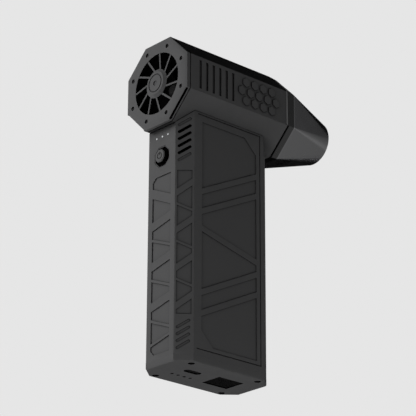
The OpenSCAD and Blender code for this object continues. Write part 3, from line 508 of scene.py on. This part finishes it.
nozzle_points[..., 2] -= mouth_drop * cone_share
nozzle = place("nozzle_shell", grid_mesh("nozzle_shell", nozzle_points, along=True), "housing")
nozzle.data.shade_smooth()
nozzle.data.set_sharp_from_angle(angle=math.radians(32))
nozzle.modifiers.new("flat_faces", "WEIGHTED_NORMAL").keep_sharp = True


def satin(name, tone, roughness):
    """A dark satin lacquer that mirrors softly, and least where it is seen at a low angle."""
    return skinned(name, tone, 0.1, 2600.0, roughness, 0.000002, Metallic=1.0, Specular_Tint=(0, 0, 0, 1))


def on_collar(middle):
    """Whether each face is on the outside of the collar, clear of the spigot."""
    return (middle[:, 0] < collar_x1 - 0.0001) & (across_flats(middle) > spigot_r + 0.0004)


# The collar is darker than the cone, as painted shade. Its back, and its edge along all flats but the side
# ones, are black as the seam is.
finish_faces(nozzle, satin("nozzle_satin", (0.088, 0.088, 0.089), 0.22),
             (satin("collar_shade_satin", (0.03, 0.03, 0.03), 0.25), lambda middle, normal: on_collar(middle)),
             (shade_and_seam_black, lambda middle, normal: on_collar(middle) & (
                 (normal[:, 0] < -0.9)
                 | ((middle[:, 0] < seam_x - 0.0001) & (np.abs(normal[:, 1:]).max(1) < 0.9)))))
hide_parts("nozzle")

# ---- Handle shell ----
# A moulded box with bevelled corners that hangs under the barrel and holds the battery. Shallow slanted
# pockets and ribs cover its faces, with open vents high on both back bevels and blind slots at their foot.
# Its wide reach also paints shade on the handle's back beneath the cover's overhang.
shell_plastic = plastic("shell_plastic", CHARCOAL, RUBBED_AND_HIGHLIT, corners=1.3, reach=0.008)
half_x, half_y, corner_x, corner_y, bevels_x = 0.0281, 0.01505, 0.00675, 0.0058, 0.0205
vents_z, pocket_depth, skin_depth = 0.080, 0.00045, 0.00003
handle = softened("handle_housing", "handle_shell",
                  (0.0003, lambda angle, length, middle: (
                      angle < STEEP and length > LONG and abs(middle.x) > bevels_x)),
                  (0.00008, lambda angle, length, middle: angle > STEEP))


def below_skin(points):
    """Depth of each point below the nearest of the handle's four faces or four corner bevels."""
    x, y = np.abs(points[:, 0]), np.abs(points[:, 1])
    bevel = (half_x * corner_y + half_y * corner_x - corner_x * corner_y - x * corner_y - y * corner_x
             ) / math.hypot(corner_x, corner_y)
    return np.minimum(np.minimum(half_x - x, half_y - y), bevel)


def vent_wall(middle, normal):
    """Whether each face is a wall of the slanted vents, which lie high on the corner bevels."""
    across = np.abs(normal[:, 0]) * corner_y + np.abs(normal[:, 1]) * corner_x
    return ((below_skin(middle) > skin_depth) & (across < 0.5 * math.hypot(corner_x, corner_y))
            & (middle[:, 2] > vents_z) & (np.abs(middle[:, 0]) > half_x - corner_x)
            & (np.abs(middle[:, 1]) > half_y - corner_y))


# Painted shade: black inside, below the floors of the pockets, and on the vents' walls
finish_faces(handle, shell_plastic, (shade_and_seam_black, lambda middle, normal:
                                     (below_skin(middle) > pocket_depth) | vent_wall(middle, normal)))

# ---- Base ----
# A moulded cap closes the handle's foot. It has the charging socket, four small charge lights, a window with
# a fine black mesh, and four screws.
cap_top, sunk_z, rim_width = 0.0036, 0.0003, 0.0007
base = softened("base_cap", "base_plate",
                (0.00035, lambda angle, length, middle: (
                    angle < STEEP and length > LONG and middle.z < cap_top)),
                (0.0001, lambda angle, length, middle: angle > STEEP and middle.z < cap_top))
# Painted shade: black inside its rim, but for the underside itself
finish_faces(base, shell_plastic, (shade_and_seam_black, lambda middle, normal: (
    below_skin(middle) > rim_width) & ((normal[:, 2] > -0.5) | (middle[:, 2] > sunk_z))))
dress(skinned("mesh_steel", (0.010, 0.010, 0.010), 0.4, 1800.0, 0.6, 0.000006, Specular_IOR_Level=0.0),
      "base_vent_mesh")

# Turned metal: fine rings round the barrel's axis, as a lathe tool leaves them.
turned_metal, given, end = node_group(
    "turned_metal",
    (("Rings", "Float", 500.0), ("Roughness", "Float", 0.3)),
    (("Roughness", "Float"), ("Height", "Float")))
where = add(turned_metal, "Mapping", {"Vector": add(turned_metal, "TexCoord").outputs["Object"],
                                      "Location": -AXIS}).outputs[0]
rings = add(turned_metal, "TexWave", {"Vector": where, "Scale": given["Rings"], "Distortion": 1.5,
                                      "Detail": 2.0}, wave_type="RINGS", rings_direction="X").outputs["Fac"]
gloss = arithmetic(turned_metal, "MULTIPLY_ADD", rings, 0.12, given["Roughness"])
join(turned_metal, end, Roughness=gloss, Height=rings)


def metal(name, colour, rings=500.0, roughness=0.3, metallic=1.0, tarnish=0.25, depth=0.000004, level=0.5):
    """A turned metal with slightly uneven colour."""
    made, tree, shader = material(name, Metallic=metallic, Specular_IOR_Level=level)
    skin = skin_results(tree, colour, tarnish, 700.0, roughness)
    lathe = add(tree, "Group", {"Rings": rings, "Roughness": skin["Roughness"]},
                node_tree=turned_metal).outputs
    drive(tree, shader, depth, lathe["Height"], Base_Color=skin["Colour"], Roughness=lathe["Roughness"])
    return made


dress(skinned("socket_steel", (0.02, 0.02, 0.02), 0.4, 900.0, 0.5, 0.000004, Specular_IOR_Level=0.0),
      "usb_socket")
dress(metal("bright_steel", (0.58, 0.59, 0.60), roughness=0.25), "motor_shaft", "motor_bearings",
      "cell_straps", "switch_plunger")
dress(skinned("chip_black", (0.012, 0.012, 0.012), 0.3, 2400.0, 0.55, 0.00001, Specular_IOR_Level=0.05),
      "usb_tongue", "power_transistors", "board_chips", "tact_switch")

# ---- Lights ----
# Milky pipes carry light from the boards to the skin. The three speed lights above the button are on, and
# the four charge lights in the base are off and smoked.
low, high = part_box("speed_lights")
light_z, light_step = (low.z + high.z) / 2, 0.0039


def pipe(name, colour, light, roughness, **sockets):
    """A cast light pipe with fine bubbles in it. Where light is a colour, it glows in the middle of each pipe
    of a row that stands light_step apart at the height light_z."""
    made, tree, shader = material(name, **sockets)
    where = add(tree, "TexCoord").outputs["Object"]
    bubbles = add(tree, "TexNoise", {"Vector": where, "Scale": 900.0, "Detail": 3.0}).outputs["Fac"]
    tone = add(tree, "MapRange", {"Value": bubbles, "To Min": 0.85, "To Max": 1.15}).outputs[0]
    shade = add(tree, "HueSaturation", {"Color": (*colour, 1), "Value": tone}).outputs["Color"]
    gloss = add(tree, "MapRange", {"Value": bubbles, "To Min": roughness - 0.08,
                                   "To Max": roughness + 0.12}).outputs[0]
    results = {"Base_Color": shade, "Roughness": gloss}
    if light:
        row = add(tree, "SeparateXYZ", {0: where}).outputs
        side = arithmetic(tree, "WRAP", row[1], -light_step / 2, light_step / 2)
        lift = arithmetic(tree, "SUBTRACT", row[2], light_z)
        out = add(tree, "VectorMath", {0: add(tree, "CombineXYZ", {0: side, 1: lift}).outputs[0]},
                  operation="LENGTH").outputs["Value"]
        glow = add(tree, "MapRange", {"Value": out, "From Min": 0.0001, "From Max": 0.0004, "To Min": 0.6,
                                      "To Max": 0.01}, interpolation_type="SMOOTHSTEP").outputs[0]
        tone = arithmetic(tree, "MULTIPLY", tone, glow)
        shade = add(tree, "HueSaturation", {"Color": (*light, 1), "Value": tone}).outputs["Color"]
        results["Emission_Color"] = shade
    drive(tree, shader, 0.000008, bubbles, **results)
    return made


dress(pipe("light_pipe_lit", (0.09, 0.09, 0.095), (0.9, 0.95, 1.0), 0.3, Emission_Strength=1.0,
           Specular_IOR_Level=0.05), "speed_lights")
dress(pipe("light_pipe_dark", (0.006, 0.006, 0.006), None, 0.5, Specular_IOR_Level=0.0), "battery_lights")

# ---- Power button ----
# An eight-sided cap, moulded with a plain on-off sign in its face, slides in a sunk ring with black walls of
# painted shade.
# Behind it stands a small switch on the control board.
bezel_black = plastic("bezel_black", (0.005, 0.005, 0.005), (0.012, 0.012, 0.012), roughness=0.5)
bezel = softened("button_bezel", "bezel_ring", (0.00006, lambda angle, length, middle: angle > 30))
rim_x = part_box("button_bezel")[0].x + 0.0001
finish_faces(bezel, bezel_black, (shell_plastic, lambda middle, normal: middle[:, 0] < rim_x))
button_plastic = plastic("button_plastic", (0.085, 0.085, 0.086), (0.14, 0.14, 0.14), roughness=0.5,
                         grains=3600.0)
button = softened("power_button", "button_cap", (0.00008, lambda angle, length, middle: True))
# Painted shade: the cap's sides are black.
finish_faces(button, button_plastic, (shade_and_seam_black, lambda middle, normal: normal[:, 0] > -0.5))

# ---- Fan ----
# A black anodised impeller turns in a black anodised duct, driven by a small brushless motor that sits in
# a moulded frame with guide vanes behind it.


def turned_form(profile, steps=72):
    """A closed turned form: a profile of x and radius carried round the barrel's axis. A point on the axis
    becomes a pole, where its ring is merged."""
    turn = np.linspace(0, 2 * math.pi, steps, endpoint=False)[None, :]
    x, r = np.array(profile).T[:, :, None]
    return np.stack([x + 0 * turn, r * np.cos(turn), AXIS.z + r * np.sin(turn)], axis=-1)


def blade_form(count, hub, tip, x_root, x_tip, sweep, thickness, rows=9, around=22):
    """Twisted blades. Across a blade's section the parameter runs once round a thin lens from the leading to
    the trailing edge and back; up its span the section turns and its chord slides from root to tip."""
    t = np.linspace(0, 2 * math.pi, around, endpoint=False)[None, :]
    v = np.linspace(0, 1, rows)[:, None]
    along = 0.5 - 0.5 * np.cos(t)
    x0 = x_root[0] + (x_tip[0] - x_root[0]) * v
    x1 = x_root[1] + (x_tip[1] - x_root[1]) * v
    x = x0 + (x1 - x0) * along
    r = hub(x) + (tip - hub(x)) * v
    half = 0.5 * thickness * (1 - 0.45 * v) * np.sin(t) * (0.75 + 0.25 * np.sin(math.pi * along))
    turn = -sweep * (along - 0.5) * (1 + 0.35 * (1 - v)) + 0.25 * (along - 0.5) ** 2 + half / r
    blades = []
    for k in range(count):
        angle = turn + 2 * math.pi * k / count
        blades.append(np.stack([x, r * np.cos(angle), AXIS.z + r * np.sin(angle)], axis=-1))
    return blades


def merge_all(name, grids, body, angle=35):
    """Joins several closed grids, each with or without caps, into one mesh: their poles are merged, and their
    faces turned outwards."""
    form = bmesh.new()
    for points, caps in grids:
        mesh = grid_mesh("part", points, caps=caps)
        form.from_mesh(mesh)
        bpy.data.meshes.remove(mesh)
    bmesh.ops.remove_doubles(form, verts=form.verts, dist=1e-7)
    bmesh.ops.dissolve_degenerate(form, edges=form.edges, dist=1e-8)
    bmesh.ops.recalc_face_normals(form, faces=form.faces)
    mesh = bpy.data.meshes.new(name)
    form.to_mesh(mesh)
    form.free()
    mesh.shade_smooth()
    mesh.set_sharp_from_angle(angle=math.radians(angle))
    return place(name, mesh, body)


low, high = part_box("impeller")
fan_x0, fan_x1, fan_tip = low.x, high.x, (high.y - low.y) / 2
nose_r, hub_r, shaft_r, shaft_end = 0.0024, 0.0092, 0.0015, fan_x0 + 0.0016


def hub_radius(x):
    """The hub's radius at a station. From the nose to the motor's radius it grows as a sine to the power 0.9
    of the share of the hub's length."""
    share = np.clip((x - fan_x0) / (fan_x1 - fan_x0), 0, 1)
    return nose_r + (hub_r - nose_r) * np.sin(0.5 * math.pi * share) ** 0.9


nose = np.linspace(0, 1, 14)
nose_x = fan_x0 + 0.0002 + (fan_x1 - 0.0004 - fan_x0 - 0.0002) * nose
hub_profile = [(fan_x0, 0), (fan_x0, 0.0020)] + list(zip(nose_x, hub_radius(nose_x))) + [
    (fan_x1, 0.0090), (fan_x1, 0.0076), (fan_x1 - 0.0006, 0.0074), (fan_x1 - 0.0006, shaft_r),
    (shaft_end, shaft_r), (shaft_end, 0)]
blades = blade_form(9, lambda x: hub_radius(x) - 0.0004, fan_tip - 0.00002, sweep=0.95, thickness=0.0011,
                    x_root=(fan_x0 + 0.0026, fan_x1 - 0.0012), x_tip=(fan_x0 + 0.0032, fan_x1 - 0.0030))
wheel = [(turned_form(hub_profile), False)] + [(blade, True) for blade in blades]
impeller = merge_all("impeller_wheel", wheel, "rotor")
black_anodised = metal("black_anodised", (0.006, 0.006, 0.006), rings=420.0, roughness=0.6, metallic=0.6,
                       level=0.0)
impeller.data.materials.append(black_anodised)
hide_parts("impeller")
dress(black_anodised, "fan_duct")
inner_plastic = skinned("inner_plastic", (0.012, 0.012, 0.012), 0.25, 1500.0, 0.6, 0.00001,
                        Specular_IOR_Level=0.05)
dress(inner_plastic, "motor_frame", "motor_end_cap", "tail_cone", "lower_cell_holder", "upper_cell_holder")
dress(metal("magnet_grey", (0.26, 0.26, 0.28), rings=700.0, roughness=0.4), "rotor_magnet")


def banded(name, colour, groove, bands, direction, roughness, depth, metallic=0.0, drift=0.6):
    """A surface of fine parallel bands, such as stacked sheets or wound wires, darker between the bands."""
    made, tree, shader = material(name, Metallic=metallic)
    where = add(tree, "TexCoord").outputs["Object"]
    wave = add(tree, "TexWave", {"Vector": where, "Scale": bands, "Distortion": drift, "Detail": 2.0},
               bands_direction=direction).outputs["Fac"]
    shade = add(tree, "Mix", {"Factor": wave, "A": (*groove, 1), "B": (*colour, 1)},
                data_type="RGBA").outputs[2]
    gloss = add(tree, "MapRange", {"Value": wave, "To Min": roughness + 0.2, "To Max": roughness}).outputs[0]
    drive(tree, shader, depth, wave, Base_Color=shade, Roughness=gloss)
    return made


dress(banded("core_steel", (0.40, 0.41, 0.43), (0.16, 0.16, 0.17), 900.0, "X", 0.35, 0.00003, 1.0),
      "stator_core")
dress(banded("winding_copper", (0.70, 0.30, 0.12), (0.30, 0.10, 0.04), 700.0, "Z", 0.3, 0.00008, 1.0, 1.5),
      "stator_windings")
dress(skinned("red_wire", (0.42, 0.03, 0.02), 0.3, 1300.0, 0.5, 0.00001), "motor_leads", "battery_leads",
      "charge_leads")

# ---- Battery ----
# Two lithium cells in blue shrink sleeves stand side by side between moulded holders, and welded straps join
# them. The speed board's large capacitor has the same sleeve.
made, tree, shader = material("cell_jacket", Coat_Weight=0.3, Coat_Roughness=0.2)
where = add(tree, "TexCoord").outputs["Object"]
stretched = add(tree, "Mapping", {"Vector": where, "Scale": (1.0, 1.0, 0.12)}).outputs[0]
wrinkle = add(tree, "TexNoise", {"Vector": stretched, "Scale": 240.0, "Detail": 3.0}).outputs["Fac"]
tone = add(tree, "MapRange", {"Value": wrinkle, "To Min": 0.8, "To Max": 1.2}).outputs[0]
shade = add(tree, "HueSaturation", {"Color": (0.03, 0.08, 0.22, 1), "Value": tone}).outputs["Color"]
gloss = add(tree, "MapRange", {"Value": wrinkle, "To Min": 0.3, "To Max": 0.5}).outputs[0]
drive(tree, shader, 0.00006, wrinkle, Base_Color=shade, Roughness=gloss)
dress(made, "battery_cells", "bulk_capacitor")

# ---- Boards ----
# Green lacquered glass laminate: copper tracks show through the lacquer as paler lines over a woven base.
# A flat ribbon of pale wires joins the speed board and the control board.
made, tree, shader = material("board_laminate", Specular_IOR_Level=0.1)
where = add(tree, "TexCoord").outputs["Object"]
tracks = add(tree, "TexBrick", {
    "Vector": where, "Color1": (0.006, 0.035, 0.020, 1), "Color2": (0.005, 0.030, 0.017, 1),
    "Mortar": (0.015, 0.06, 0.03, 1), "Scale": 320.0, "Mortar Size": 0.05}, offset=0.35)
weave = add(tree, "TexChecker", {"Vector": where, "Scale": 1600.0}).outputs["Fac"]
gloss = add(tree, "MapRange", {"Value": tracks.outputs["Fac"], "To Min": 0.38, "To Max": 0.25}).outputs[0]
lift = arithmetic(tree, "MULTIPLY_ADD", weave, 0.15, tracks.outputs["Fac"])
drive(tree, shader, 0.00002, lift, Base_Color=tracks.outputs["Color"], Roughness=gloss)
dress(made, "charging_board", "speed_board", "control_board")
dress(banded("ribbon_white", (0.62, 0.62, 0.58), (0.35, 0.35, 0.34), 314.0, "Y", 0.5, 0.00006),
      "board_ribbon")
